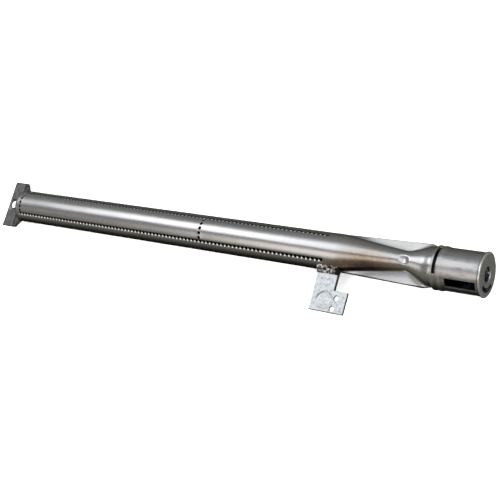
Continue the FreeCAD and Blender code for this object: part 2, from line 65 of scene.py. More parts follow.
# Sizes in millimetres in the CAD frame; angles in degrees from straight up towards the bracket side.
TUBE_R, WALL = 12.7, 0.8
PORT_FIRST, PORT_PITCH, PORT_COUNT = -390.4, 3.3, 87
PORT_LAST = PORT_FIRST + PORT_PITCH * (PORT_COUNT - 1)
PORT_ROW, PORT_PATCH = 43.4, 5.9
PORT_LIP, PORT_EDGE, PORT_BACK = 1.30, 1.16, 1.12
CROSS_PORT_X = -206.5
CROSS_PORTS = (-31.6, -15.8, 0.0, 15.8, 31.6)
TAIL_END, TAIL_FLAT, TAIL_ROUND, TAIL_HALF = -415.5, -403.6, -396.0, 19.2
TAIL_INSIDE = -402.6
TAIL_HOLE_X, TAIL_HOLE_R = -410.4, 3.2
VENTURI = {"start": -95.4, "throat": -48.9, "end": -35.9, "neck": -31.9}
# Formed sections: valley across and up, fin across, ridge up, fin up.
THROAT = (6.1, 1.9, 14.1, 10.9, 1.1)
END = (12.6, 2.0, 14.4, 11.6, 1.2)
VALLEY, FIN_EDGE = 79.0, 82.0
DIMPLE_X, DIMPLE_Y, DIMPLE_R, DIMPLE_DEPTH = -49.3, -0.8, 6.5, 0.9
WINDOW_BACK, WINDOW_FRONT = -21.3, -1.6
WINDOW_TURN, WINDOW_HALF = 54.5, 15.75
CRESCENT = (61.0, 160.0)
SHUTTER_R, SHUTTER_BORE = 13.45, 12.78
SHUTTER_SLOT = (-29.0, -26.9, -58.0, 30.0)
SHUTTER_WINDOW = (-20.9, -1.4)
BRACKET_X = (-109.9, -94.3, -84.5)
BRACKET_Y = (-12.0, -26.2, -40.8)
BRACKET_TOP, BRACKET_BOTTOM = 3.0, 1.5
BRACKET_HOLES = ((-91.9, -30.8), (-93.3, -38.0))
DISC_X, DISC_Y = -100.0, -33.3
WELD_START, WELD_LENGTH = -110.6, 17.0

# Material slots of the burner tube.
OUTSIDE, INSIDE = 0, 1


# ---------------------------------------------------------------- settings


class BurnerStageSettings(bpy.types.PropertyGroup):
    """Camera, floor and lights."""

    camera_place: FloatVectorProperty(
        name="Camera place", description="Where the camera stands",
        default=(0.19674, -0.12760, 0.53552), size=3, subtype="TRANSLATION", unit="LENGTH")
    camera_turn: FloatVectorProperty(
        name="Camera turn", description="Camera rotation, X then Y then Z",
        default=(math.radians(20.276), math.radians(30.010), math.radians(18.233)),
        size=3, subtype="EULER")
    camera_lens: FloatProperty(
        name="Lens", description="Focal length on a 36 mm wide sensor",
        default=68.405, min=10.0, unit="CAMERA")
    floor_colour: FloatVectorProperty(
        name="Floor", description="Floor colour", default=(0.93, 0.93, 0.93), size=3, subtype="COLOR")
    key_power: FloatProperty(
        name="Key light", description="Power of the overhead softbox",
        default=100.0, min=0.0, unit="POWER")
    fill_power: FloatProperty(
        name="Fill light", description="Power of the floor wash",
        default=40.0, min=0.0, unit="POWER")


class BurnerFinishSettings(bpy.types.PropertyGroup):
    """Base colours of the metals."""

    stainless: FloatVectorProperty(
        name="Stainless", description="Colour of the formed tube",
        default=(0.60, 0.59, 0.575), size=3, subtype="COLOR")
    galvanised: FloatVectorProperty(
        name="Galvanised", description="Colour of the bracket",
        default=(0.350, 0.368, 0.377), size=3, subtype="COLOR")
    weld: FloatVectorProperty(
        name="Weld", description="Colour of the weld metal",
        default=(0.30, 0.27, 0.245), size=3, subtype="COLOR")


# ---------------------------------------------------------------- node helpers


class NodeBoard:
    """Short way to add and link nodes in one tree."""

    def __init__(self, tree):
        self.tree = tree

    def add(self, kind, inputs=None, **settings):
        node = self.tree.nodes.new(kind)
        for key, value in settings.items():
            setattr(node, key, value)
        for key, value in (inputs or {}).items():
            if isinstance(value, bpy.types.NodeSocket):
                self.tree.links.new(value, node.inputs[key])
            else:
                node.inputs[key].default_value = value
        return node

    def math(self, operation, *values):
        return self.add("ShaderNodeMath", dict(enumerate(values)), operation=operation).outputs[0]

    def vector(self, operation, *values, output=0):
        node = self.add("ShaderNodeVectorMath", dict(enumerate(values)), operation=operation)
        return node.outputs[output]

    def times(self, value, *others):
        """Product of two or more values."""
        for other in others:
            value = self.math("MULTIPLY", value, other)
        return value

    def hypot(self, first, second):
        """Length of the long side over two square sides."""
        return self.math("SQRT", self.math("ADD", self.times(first, first), self.times(second, second)))

    def grey(self, value):
        return self.add("ShaderNodeCombineColor", {0: value, 1: value, 2: value}).outputs[0]

    def mix(self, factor, first, second, blend="MIX"):
        node = self.add("ShaderNodeMix", data_type="RGBA", blend_type=blend)
        for socket, value in ((node.inputs[0], factor), (node.inputs[6], first), (node.inputs[7], second)):
            if isinstance(value, bpy.types.NodeSocket):
                self.tree.links.new(value, socket)
            else:
                socket.default_value = value
        return node.outputs[2]

    def smooth(self, value, low, high, to_low=0.0, to_high=1.0):
        node = self.add("ShaderNodeMapRange", {"Value": value, "From Min": low, "From Max": high,
                                               "To Min": to_low, "To Max": to_high},
                        interpolation_type="SMOOTHSTEP")
        return node.outputs["Result"]

    def band(self, value, rise_from, rise_to, fall_from, fall_to):
        """One between two soft edges and nothing outside them."""
        return self.times(self.smooth(value, rise_from, rise_to), self.smooth(value, fall_to, fall_from))

    def noise(self, vector, scale, detail=3.0, roughness=0.55):
        return self.add("ShaderNodeTexNoise", {"Vector": vector, "Scale": scale, "Detail": detail,
                                               "Roughness": roughness}).outputs["Fac"]

    def stretched(self, vector, scale):
        return self.add("ShaderNodeMapping", {"Vector": vector, "Scale": scale}).outputs["Vector"]

    def object_place(self):
        return self.add("ShaderNodeTexCoord").outputs["Object"]

    def millimetres(self, place):
        """X, Y and Z of a place in metres, as three values in millimetres."""
        split = self.add("ShaderNodeSeparateXYZ", {0: place}).outputs
        return [self.times(split[axis], 1.0 / MM) for axis in "XYZ"]

    def ramp(self, value, stops):
        """Colour ramp through (position, colour) stops."""
        node = self.add("ShaderNodeValToRGB", {"Fac": value})
        elements = node.color_ramp.elements
        for element, (position, colour) in zip(elements, (stops[0], stops[-1])):
            element.position, element.color = position, (*colour, 1)
        for position, colour in stops[1:-1]:
            elements.new(position).color = (*colour, 1)
        return node.outputs["Color"]


def new_group(name, inputs, outputs):
    """Empty shader node group with named sockets."""
    group = bpy.data.node_groups.new(name, "ShaderNodeTree")
    for socket_name, kind, default in inputs:
        socket = group.interface.new_socket(name=socket_name, in_out="INPUT", socket_type=kind)
        if default is not None:
            socket.default_value = default
    for socket_name, kind in outputs:
        group.interface.new_socket(name=socket_name, in_out="OUTPUT", socket_type=kind)
    return group


def drawn_metal_group():
    """Fine lengthwise drawing lines, broad waviness and faint handling marks of formed sheet."""
    group = bpy.data.node_groups.get("Drawn sheet metal")
    if group:
        return group
    group = new_group(
        "Drawn sheet metal",
        [("Vector", "NodeSocketVector", None), ("Colour", "NodeSocketColor", (0.6, 0.6, 0.6, 1)),
         ("Roughness", "NodeSocketFloat", 0.25), ("Lines", "NodeSocketFloat", 1.0)],
        [("Colour", "NodeSocketColor"), ("Roughness", "NodeSocketFloat"), ("Height", "NodeSocketFloat")])
    b = NodeBoard(group)
    source = b.add("NodeGroupInput").outputs
    place = source["Vector"]
    lines = b.noise(b.stretched(place, (20.0, 1150.0, 1150.0)), 1.0, 3.0, 0.6)
    waves = b.noise(b.stretched(place, (34.0, 120.0, 120.0)), 1.0, 2.0, 0.5)
    marks = b.noise(b.stretched(place, (420.0, 900.0, 900.0)), 1.0, 4.0, 0.7)
    rubbed = b.smooth(marks, 0.56, 0.74)
    shade = b.math("MULTIPLY_ADD", lines, 0.42, 0.79)
    shade = b.math("MULTIPLY_ADD", rubbed, -0.08, shade)
    colour = b.mix(1.0, source["Colour"], b.grey(shade), "MULTIPLY")
    rough = b.math("MULTIPLY_ADD", lines, 0.10, b.math("SUBTRACT", source["Roughness"], 0.05))
    rough = b.math("MULTIPLY_ADD", rubbed, 0.12, rough)
    height = b.math("MULTIPLY_ADD", lines, b.times(source["Lines"], 0.012), b.times(waves, 0.35))
    b.add("NodeGroupOutput", {"Colour": colour, "Roughness": rough, "Height": height})
    return group


def heat_tint_group():
    """Straw and brown temper colours around a heated spot."""
    group = bpy.data.node_groups.get("Heat tint")
    if group:
        return group
    group = new_group(
        "Heat tint",
        [("Vector", "NodeSocketVector", None), ("Colour", "NodeSocketColor", (0.6, 0.6, 0.6, 1)),
         ("Centre", "NodeSocketVector", None), ("Reach", "NodeSocketFloat", 0.02)],
        [("Colour", "NodeSocketColor")])
    b = NodeBoard(group)
    source = b.add("NodeGroupInput").outputs
    offset = b.vector("SUBTRACT", source["Vector"], source["Centre"])
    squeezed = b.vector("MULTIPLY", offset, (0.62, 1.0, 1.0))
    distance = b.vector("LENGTH", squeezed, output="Value")
    ratio = b.math("DIVIDE", distance, source["Reach"])
    ragged = b.math("MULTIPLY_ADD", b.noise(source["Vector"], 260.0), 0.5, b.math("SUBTRACT", ratio, 0.25))
    temper = b.ramp(ragged, ((0.0, (0.20, 0.16, 0.13)), (0.30, (0.34, 0.26, 0.24)),
                             (0.48, (0.62, 0.46, 0.36)), (0.70, (0.90, 0.78, 0.66)), (1.0, (1, 1, 1))))
    colour = b.mix(1.0, source["Colour"], temper, "MULTIPLY")
    b.add("NodeGroupOutput", {"Colour": colour})
    return group


# ---------------------------------------------------------------- finishes


def metal_base(name, metallic=1.0):
    """New material with an empty Principled metal."""
    material = bpy.data.materials.new(name)
    material.use_nodes = True
    tree = material.node_tree
    tree.nodes.clear()
    b = NodeBoard(tree)
    shader = b.add("ShaderNodeBsdfPrincipled", {"Metallic": metallic})
    b.add("ShaderNodeOutputMaterial", {"Surface": shader.outputs[0]})
    return material, b, shader


def surface(b, shader, colour, rough, height, strength, distance=0.001):
    """Link a finish's colour, roughness and relief to its shader."""
    bump = b.add("ShaderNodeBump", {"Height": height, "Strength": strength, "Distance": distance})
    for socket, value in (("Base Color", colour), ("Roughness", rough), ("Normal", bump.outputs["Normal"])):
        b.tree.links.new(value, shader.inputs[socket])


def heat_marks(b, place, z, colour):
    """Temper colours of the weld and along the flank, on the metal above the fin."""
    tinted = colour
    for centre, reach in (((-95.5, -11.8, 3.0), 9.5), ((-74.5, -11.2, 3.5), 18.5)):
        mark = b.add("ShaderNodeGroup", {"Vector": place, "Colour": tinted, "Centre": Vector(centre) * MM,
                                         "Reach": reach * MM}, node_tree=heat_tint_group())
        tinted = mark.outputs["Colour"]
    return b.mix(b.smooth(z, 2.0, 3.2), colour, tinted)


def venturi_shades(b, x, y, z, colour):
    """Painted shade on the lower flank of the venturi and on the dark upright cut edges of its fins."""
    # Painted shade: near-black on the steep flank between the ridge and the fin on the -Y side.
    flank = b.times(b.band(z, 1.8, 2.6, 4.0, 7.4), b.smooth(y, -3.0, -5.0),
                    b.band(x, -91.5, -85.0, -54.0, -45.0), 0.78)
    colour = b.mix(flank, colour, (0.035, 0.029, 0.024, 1))
    # Painted shade: a dark strip along the upright edges of the fins.
    fin_reach = b.add("ShaderNodeMapRange", {"Value": x, "From Min": VENTURI["start"],
                                             "From Max": VENTURI["throat"], "To Min": TUBE_R,
                                             "To Max": THROAT[2]}).outputs["Result"]
    past_edge = b.math("SUBTRACT", b.math("ABSOLUTE", y), fin_reach)
    fins = b.times(b.smooth(past_edge, -0.6, -0.3), b.band(x, -92.0, -86.0, -36.5, -34.0))
    return b.mix(fins, colour, (0.07, 0.07, 0.068, 1))


def port_light_and_shade(b, x, y, z, colour):
    """Painted shade beside both port rows and pale painted highlights on the port lips between the ports;
    also gives the highlights as a mask.
    """
    turned = b.math("DEGREES", b.math("ARCTAN2", b.times(y, -1.0), z))
    run = b.band(x, PORT_FIRST - 1.6, PORT_FIRST - 1.0, PORT_LAST + 0.6, PORT_LAST + 1.2)
    near_row = b.band(turned, 36.6, 38.2, 41.2, 42.6)
    far_row = b.band(turned, -50.5, -48.8, -44.0, -42.6)
    # Painted shade: a near-black band beside each port row.
    row_shade = b.times(b.math("MAXIMUM", near_row, far_row), run, 0.82)
    colour = b.mix(row_shade, colour, (0.035, 0.033, 0.030, 1))
    half_pitch = 0.5 * PORT_PITCH
    from_port = b.math("PINGPONG", b.math("SUBTRACT", x, PORT_FIRST), half_pitch)
    between = b.math("SUBTRACT", half_pitch, from_port)
    side = b.math("SIGN", turned)
    from_row = b.math("SUBTRACT", turned, b.times(side, PORT_ROW))
    below = b.math("MULTIPLY_ADD", from_row, math.radians(TUBE_R), -0.85)
    strength = b.math("MULTIPLY_ADD", side, 0.10, 0.72)
    # Painted highlight: pale spots on the port lips between the ports, below the near row and above the far
    # row.
    lip_highlights = b.times(b.smooth(b.hypot(between, below), 0.80, 0.35), run, strength)
    return b.mix(lip_highlights, colour, (0.74, 0.74, 0.72, 1)), lip_highlights


def end_light_and_shade(b, place, x, y, z, colour):
    """Painted shade on the tail, mottled by noise, a painted highlight on the edge of the rim and a dark
    painted shadow on the tube where it shows through the slot.
    """
    # Painted shade: the flat tail is darkened, mottled by noise.
    tail_shade_mottle = b.math("MULTIPLY_ADD", b.noise(place, 210.0, 4.0, 0.6), 0.5, 0.6)
    colour = b.mix(b.times(b.smooth(x, -397.5, -400.5), tail_shade_mottle), colour, (0.10, 0.10, 0.097, 1))
    # Painted highlight: a pale band on the outer edge of the rolled rim.
    bead = b.times(b.smooth(x, -0.4, -0.1), b.smooth(b.hypot(y, z), 12.6, 13.2))
    colour = b.mix(bead, colour, (0.92, 0.90, 0.87, 1))
    # Painted shadow: a near-black strip on the tube under the shutter's rear band, seen through the slot.
    return b.mix(b.band(x, -30.4, -30.0, -24.0, -23.0), colour, (0.012, 0.011, 0.010, 1))


def stainless_finish(settings):
    """Satin formed stainless of the burner tube."""
    material, b, shader = metal_base("formed_stainless")
    place = b.object_place()
    x, y, z = b.millimetres(place)
    metal = b.add("ShaderNodeGroup", {"Vector": place, "Colour": (*settings.stainless, 1), "Roughness": 0.23},
                  node_tree=drawn_metal_group()).outputs
    colour = heat_marks(b, place, z, metal["Colour"])
    colour = venturi_shades(b, x, y, z, colour)
    colour, lip_highlights = port_light_and_shade(b, x, y, z, colour)
    colour = end_light_and_shade(b, place, x, y, z, colour)
    # Less metal where the painted lip highlights are, so they stay pale.
    b.tree.links.new(b.math("MULTIPLY_ADD", lip_highlights, -0.50, 1.0), shader.inputs["Metallic"])
    surface(b, shader, colour, metal["Roughness"], metal["Height"], 0.25)
    return material


def inside_finish():
    """Painted shade inside the tube: dull blue-black, with brighter painted blue reflections in patches near
    the gas inlet.
    """
    material, b, shader = metal_base("shaded_inside")
    place = b.object_place()
    x = b.millimetres(place)[0]
    cloud = b.noise(place, 170.0, 4.0, 0.6)
    patches = b.times(b.smooth(cloud, 0.46, 0.60), b.smooth(x, -20.0, -8.0))
    dark = b.mix(cloud, (0.012, 0.013, 0.016, 1), (0.030, 0.034, 0.042, 1))
    # Painted reflection: pale blue patches near the gas inlet.
    colour = b.mix(patches, dark, (0.17, 0.25, 0.38, 1))
    surface(b, shader, colour, b.math("MULTIPLY_ADD", cloud, 0.3, 0.25), cloud, 0.4)
    return material


def shutter_finish(settings):
    """Rolled stainless of the air shutter, a little duller than the tube."""
    material, b, shader = metal_base("shutter_stainless")
    place = b.object_place()
    duller = [0.97 * c for c in settings.stainless]
    metal = b.add("ShaderNodeGroup", {"Vector": place, "Colour": (*duller, 1), "Roughness": 0.30,
                                      "Lines": 2.5}, node_tree=drawn_metal_group()).outputs
    blotches = b.smooth(b.noise(b.stretched(place, (150.0, 420.0, 420.0)), 1.0, 4.0, 0.65), 0.50, 0.66)
    colour = b.mix(b.times(blotches, 0.45), metal["Colour"], (0.22, 0.225, 0.24, 1))
    surface(b, shader, colour, metal["Roughness"], metal["Height"], 0.45)
    return material


def painted_edge_shade(b, x, y):
    """Painted shade along the plate's sheared edges and on the shaded side of its pressed ring."""
    # Painted shade: dark strips along the notch edge, the outer edge and the foot's edge of the top.
    notch = b.times(b.smooth(x, -95.3, -94.9), b.smooth(y, -26.4, -25.8))
    outer = b.smooth(y, BRACKET_Y[2] + 0.6, BRACKET_Y[2] + 0.3, 0.0, 0.8)
    foot = b.smooth(x, BRACKET_X[2] - 0.5, BRACKET_X[2] - 0.2, 0.0, 0.8)
    across, along = b.math("SUBTRACT", x, DISC_X), b.math("SUBTRACT", y, DISC_Y)
    away = b.math("ABSOLUTE", b.math("SUBTRACT", b.hypot(across, along), 6.0))
    facing = b.math("MULTIPLY_ADD", across, -0.78, b.times(along, 0.62))
    pressed = b.times(b.smooth(away, 0.7, 0.2), b.smooth(facing, 3.8, 6.0, 0.0, 0.75))
    dark = notch
    for mark in (outer, foot, pressed):
        dark = b.math("MAXIMUM", dark, mark)
    return dark


def galvanised_finish(settings):
    """Zinc-coated sheet with a fine spangle."""
    material, b, shader = metal_base("galvanised_sheet", metallic=0.6)
    coordinates = b.add("ShaderNodeTexCoord").outputs
    place = coordinates["Object"]
    x, y, _ = b.millimetres(place)
    cells = b.add("ShaderNodeTexVoronoi", {"Vector": place, "Scale": 620.0}).outputs["Color"]
    cell_shade = b.add("ShaderNodeSeparateColor", {0: cells}).outputs[0]
    cloud = b.noise(place, 260.0, 4.0, 0.6)
    specks = b.smooth(b.noise(place, 800.0, 2.0, 0.5), 0.56, 0.66)
    shade = b.math("MULTIPLY_ADD", cell_shade, 0.24, b.math("MULTIPLY_ADD", cloud, 0.56, 0.64))
    shade = b.math("MULTIPLY_ADD", specks, -0.42, shade)
    zinc = b.mix(1.0, (*settings.galvanised, 1), b.grey(shade), "MULTIPLY")
    # Painted shade: side walls and the masked edge strips are near-black instead of zinc.
    level = b.math("ABSOLUTE", b.add("ShaderNodeSeparateXYZ", {0: coordinates["Normal"]}).outputs["Z"])
    unshaded = b.times(b.smooth(level, 0.45, 0.80), b.math("SUBTRACT", 1.0, painted_edge_shade(b, x, y)))
    colour = b.mix(unshaded, (0.022, 0.021, 0.020, 1), zinc)
    height = b.math("MULTIPLY_ADD", cell_shade, 0.02, b.times(cloud, 0.10))
    surface(b, shader, colour, b.math("MULTIPLY_ADD", cell_shade, 0.14, 0.36), height, 0.3)
    return material


def weld_finish(settings):
    """Scaly weld metal from pale to near black, darker towards the venturi end."""
    material, b, shader = metal_base("weld_metal", metallic=0.85)
    place = b.object_place()
    scale = b.noise(place, 560.0, 5.0, 0.65)
    end_darkening = b.smooth(b.millimetres(place)[0], -98.5, -94.5, 0.0, 0.17)
    colour = b.ramp(b.math("SUBTRACT", scale, end_darkening),
                    ((0.42, (0.012, 0.010, 0.009)), (0.52, settings.weld), (0.64, (0.95, 0.90, 0.88))))
    surface(b, shader, colour, b.math("MULTIPLY_ADD", scale, 0.30, 0.22), scale, 1.0, 0.0012)
    return material


def floor_finish(settings):
    """Plain matt floor with a trace of unevenness."""
    material, b, shader = metal_base("pale_floor", metallic=0.0)
    cloud = b.math("MULTIPLY_ADD", b.noise(b.object_place(), 3.0), 0.01, 0.995)
    colour = b.mix(1.0, (*settings.floor_colour, 1), b.grey(cloud), "MULTIPLY")
    b.tree.links.new(colour, shader.inputs["Base Color"])
    shader.inputs["Roughness"].default_value = 0.9
    shader.inputs["Specular IOR Level"].default_value = 0.1
    return material


# ---------------------------------------------------------------- sheet geometry (millimetres)


# Grid lines across the tube, in degrees from straight up; the first number is the angle on the
# burner run, the second the angle on the mixer end.
LINES = (
    (0.0, 0.0), (5.9, 6.2), (9.9, 10.4), (15.8, 16.6), (21.7, 22.8), (25.7, 27.0), (31.6, 33.0),
    (37.5, 39.9), (43.4, 45.0), (49.3, 50.0), (54.5, 56.0), (60.0, 62.0), (65.8, 69.1), (70.0, 74.0),
    (73.5, 77.5), (76.0, 80.0), (77.8, 81.8), (79.0, 83.0), (79.5, 83.6), (80.2, 84.3), (81.0, 85.0),
    (81.6, 85.6), (82.0, 86.0), (83.2, 86.9), (86.5, 88.4), (90.0, 90.0),
)


def line_list():
    """All grid lines around the tube as (run angle, mixer angle, side, lower) entries."""
    upper = [(run, mixer, 1, False) for run, mixer in reversed(LINES)]
    upper += [(run, mixer, -1, False) for run, mixer in LINES[1:]]
    lower = [(run, mixer, -1, True) for run, mixer in reversed(LINES[:-1])]
    lower += [(run, mixer, 1, True) for run, mixer in LINES[1:-1]]
    return upper + lower


def formed_point(run, shape):
    """Upper quarter of a formed section: ridge arc, flat fin, then its upright edge."""
    valley_y, valley_z, fin_y, ridge_z, fin_z = shape
    if run > VALLEY:
        if run >= FIN_EDGE:
            share = (run - FIN_EDGE) / (90.0 - FIN_EDGE)
            return fin_y - 0.25 * (1.0 - share) ** 2, fin_z * (1.0 - share) * 0.94
        share = (run - VALLEY) / (FIN_EDGE - VALLEY)
        sag = fin_z + (valley_z - fin_z) * (1.0 - share) ** 2
        return valley_y + share * (fin_y - 0.25 - valley_y), sag
    rise = ridge_z - valley_z
    radius = (valley_y ** 2 + rise ** 2) / (2.0 * rise)
    half = math.atan2(valley_y, valley_z - (ridge_z - radius))
    turn = half * run / VALLEY
    return radius * math.sin(turn), ridge_z - radius + radius * math.cos(turn)


def round_point(degrees, radius):
    turn = math.radians(degrees)
    return radius * math.sin(turn), radius * math.cos(turn)


def flat_point(run, half_width, half_height):
    """Upper quarter of a flattened tube."""
    reach = half_width - half_height
    if run <= VALLEY:
        return reach * run / VALLEY, half_height
    turn = math.radians(90.0 * (run - VALLEY) / (90.0 - VALLEY))
    return reach + half_height * math.sin(turn), half_height * math.cos(turn)


def blend_points(first, second, share):
    return tuple((1.0 - share) * a + share * b for a, b in zip(first, second))


def ease(value):
    value = min(max(value, 0.0), 1.0)
    return value * value * (3.0 - 2.0 * value)


def offset_shape(shape, inward):
    """Formed section moved in by a wall."""
    valley_y, valley_z, fin_y, ridge_z, fin_z = shape
    return (valley_y - 0.7 * inward, valley_z - 0.9 * inward,
            fin_y - inward, ridge_z - inward, fin_z - inward)


def section_point(x, run, mixer, inward):
    """Upper quarter of the tube section at one station, as (sideways, up)."""
    radius = TUBE_R - inward
    if x < TAIL_ROUND:
        if inward:
            share = (TAIL_ROUND - x) / (TAIL_ROUND + 403.0)
            flat = flat_point(run, TAIL_HALF - 1.1, 0.15)
        else:
            share = (TAIL_ROUND - x) / (TAIL_ROUND - TAIL_FLAT)
            flat = flat_point(run, TAIL_HALF, WALL)
        share = min(share, 1.0)
        start = round_point(run, radius)
        wide = ease((-398.2 - x) / 2.8)
        return (1.0 - wide) * start[0] + wide * flat[0], (1.0 - share) * start[1] + share * flat[1]
    if x < VENTURI["start"]:
        return round_point(run, radius)
    throat, end = offset_shape(THROAT, inward), offset_shape(END, inward)
    if x < VENTURI["throat"]:
        share = (x - VENTURI["start"]) / (VENTURI["throat"] - VENTURI["start"])
        return blend_points(round_point(run, radius), formed_point(run, throat), share)
    if x < VENTURI["end"]:
        share = (x - VENTURI["throat"]) / (VENTURI["end"] - VENTURI["throat"])
        return blend_points(formed_point(run, throat), formed_point(run, end), share)
    if x < VENTURI["neck"]:
        share = (x - VENTURI["end"]) / (VENTURI["neck"] - VENTURI["end"])
        return blend_points(formed_point(run, end), round_point(mixer, radius), share)
    return round_point(mixer, radius)


def softened_point(x, run, mixer, inward):
    """Section point averaged along the tube near the pressed area, so that creases turn softly."""
    if x < TAIL_FLAT + 0.5 or VENTURI["neck"] + 2.0 < x or TAIL_ROUND + 2.0 < x < VENTURI["start"] - 3.0:
        return section_point(x, run, mixer, inward)
    reach = 2.2 if x > VENTURI["start"] - 3.0 else 1.0
    samples = [section_point(x + step * reach, run, mixer, inward) for step in (-1.0, -0.5, 0.0, 0.5, 1.0)]
    weights = (1.0, 2.0, 3.0, 2.0, 1.0)
    return tuple(sum(w * s[axis] for w, s in zip(weights, samples)) / 9.0 for axis in (0, 1))


def groove_drop(x, degrees):
    """Shallow trough that the punched ports leave along their row."""
    fade = ease((x - PORT_FIRST + 3.0) / 2.5) * ease((PORT_LAST + 3.0 - x) / 2.5)
    return 0.26 * fade * math.exp(-(((abs(degrees) - PORT_ROW) / 5.4) ** 2))


def dimple_drop(x, y, z):
    """Depth to press a point down into the ball-shaped dimple on the throat."""
    away = (x - DIMPLE_X) ** 2 + (y - DIMPLE_Y) ** 2
    if z < 0 or away > DIMPLE_R ** 2:
        return 0.0
    ball = THROAT[3] - DIMPLE_DEPTH + DIMPLE_R - math.sqrt(DIMPLE_R ** 2 - away)
    return max(z - ball, 0.0)


def sheet_point(x, run, mixer, side, lower, inward=0.0):
    """Point of the tube skin; side 1 is +Y, lower mirrors it under the axis."""
    across, up = softened_point(x, run, mixer, inward)
    y, z = side * across, -up if lower else up
    length = math.hypot(y, z)
    if TAIL_ROUND < x and length > 1.0:
        wave, drop = 0.0, 0.0
        if not lower and not inward:
            drop = groove_drop(x, run)
        if not inward:
            wave = 0.05 * noise.noise(Vector((x / 26.0, y / 11.0, z / 11.0)))
            wave += 0.02 * noise.noise(Vector((x / 9.0, y / 5.0, z / 5.0)))
            wave *= ease((VENTURI["neck"] + 4.0 - x) / 3.0)
        y *= 1.0 + (wave - drop) / length
        z *= 1.0 + (wave - drop) / length
    if -55.0 < x < -43.0:
        z -= dimple_drop(x, y, z + inward)
    return Vector((x, y, z))


class SheetMesh:
    """Collects points and faces of one sheet-metal piece, in millimetres."""

    def __init__(self):
        self.mesh = bmesh.new()
        self.slot = OUTSIDE

    def point(self, place):
        return self.mesh.verts.new(Vector(place) * MM)

    def face(self, corners):
        unique = [c for i, c in enumerate(corners) if c is not corners[i - 1]]
        if len(unique) > 2:
            self.mesh.faces.new(unique).material_index = self.slot

    def circle(self, x, y, radius, height, turns):
        """Level ring of points around an upright hole."""
        return [self.point((x + radius * math.cos(t), y + radius * math.sin(t), height)) for t in turns]

    def skin(self, rings, inside_out=False, skip=()):
        """Faces between consecutive closed rings, leaving out the skipped cells."""
        count = len(rings[0])
        for i in range(len(rings) - 1):
            for j in range(count):
                if (i, j) in skip:
                    continue
                k = (j + 1) % count
                corners = [rings[i][j], rings[i][k], rings[i + 1][k], rings[i + 1][j]]
                self.face(corners[::-1] if inside_out else corners)

    def strip(self, first, second):
        """Band of faces between two closed point loops of the same length."""
        count = len(first)
        for j in range(count):
            k = (j + 1) % count
            self.face([first[j], first[k], second[k], second[j]])

    def finish(self, name, materials, sharp_degrees=38.0):
        bmesh.ops.recalc_face_normals(self.mesh, faces=self.mesh.faces)
        data = bpy.data.meshes.new(name)
        self.mesh.to_mesh(data)
        self.mesh.free()
        data.shade_smooth()
        data.set_sharp_from_angle(angle=math.radians(sharp_degrees))
        for material in materials:
            data.materials.append(material)
        piece = bpy.data.objects.new(name, data)
        bpy.context.scene.collection.objects.link(piece)
        return piece


def loop_cells(low, high, left, right):
    """Grid places in order around the cells low..high by left..right."""
    places = [(low, j) for j in range(left, right)]
    places += [(i, right) for i in range(low, high)]
    places += [(high, j) for j in range(right, left, -1)]
    places += [(i, left) for i in range(high, low, -1)]
    return places


def patch_loop(rings, low, high, left, right):
    """Closed loop of grid points around the cells low..high by left..right."""
    return [rings[i][j] for i, j in loop_cells(low, high, left, right)]


def fan_in(sheet, loop, rings):
    """Close a patch down to a hole: the first ring has twice the loop's points."""
    count = len(loop)
    first = rings[0]
    for k in range(count):
        n = (k + 1) % count
        sheet.face([loop[k], loop[n], first[(2 * k + 2) % (2 * count)], first[2 * k + 1], first[2 * k]])
    for outer, inner in zip(rings, rings[1:]):
        sheet.strip(outer, inner)


def doubled_angles(angles):
    """Loop angles with one more between each pair."""
    result = []
    for k, angle in enumerate(angles):
        following = angles[(k + 1) % len(angles)]
        gap = math.remainder(following - angle, 2.0 * math.pi)
        result += [angle, angle + 0.5 * gap]
    return result


def spread(start, stop, count):
    """Even places from start to stop, both ends included."""
    return [start + (stop - start) * k / count for k in range(count + 1)]


def tube_stations():
    """Stations along the tube: fine where ports, holes and pressed shapes need them."""
    stations = [TAIL_END] + spread(-415.2, -405.6, 4)
    stations += [-404.4, TAIL_FLAT, TAIL_INSIDE, -401.6, -400.8, -400.0, -399.2, -398.4, -397.4, TAIL_ROUND]
    stations += [-395.2, -394.0, -393.2]
    stations += [PORT_FIRST + 0.5 * PORT_PITCH * (k - 1) for k in range(2 * PORT_COUNT + 1)]
    stations += [-103.6, -102.0, -100.4, -98.8, -97.6, -96.6]
    stations += [VENTURI["start"] + 1.55 * k for k in range(26)]
    stations += [-55.6 + 0.8 * k for k in range(31)]
    stations += [-31.2, -30.4, -29.0, -27.0, -25.0, -23.0]
    stations += spread(WINDOW_BACK, -6.3, 5) + [-3.6, WINDOW_FRONT, -1.0, -0.4]
    return stations


def radial_point(x, degrees, radius):
    """Point around the tube axis; degrees are turned from straight up towards -Y."""
    across, up = round_point(degrees, radius)
    return (x, -across, up)


def near_index(values, target):
    return min(range(len(values)), key=lambda k: abs(values[k] - target))


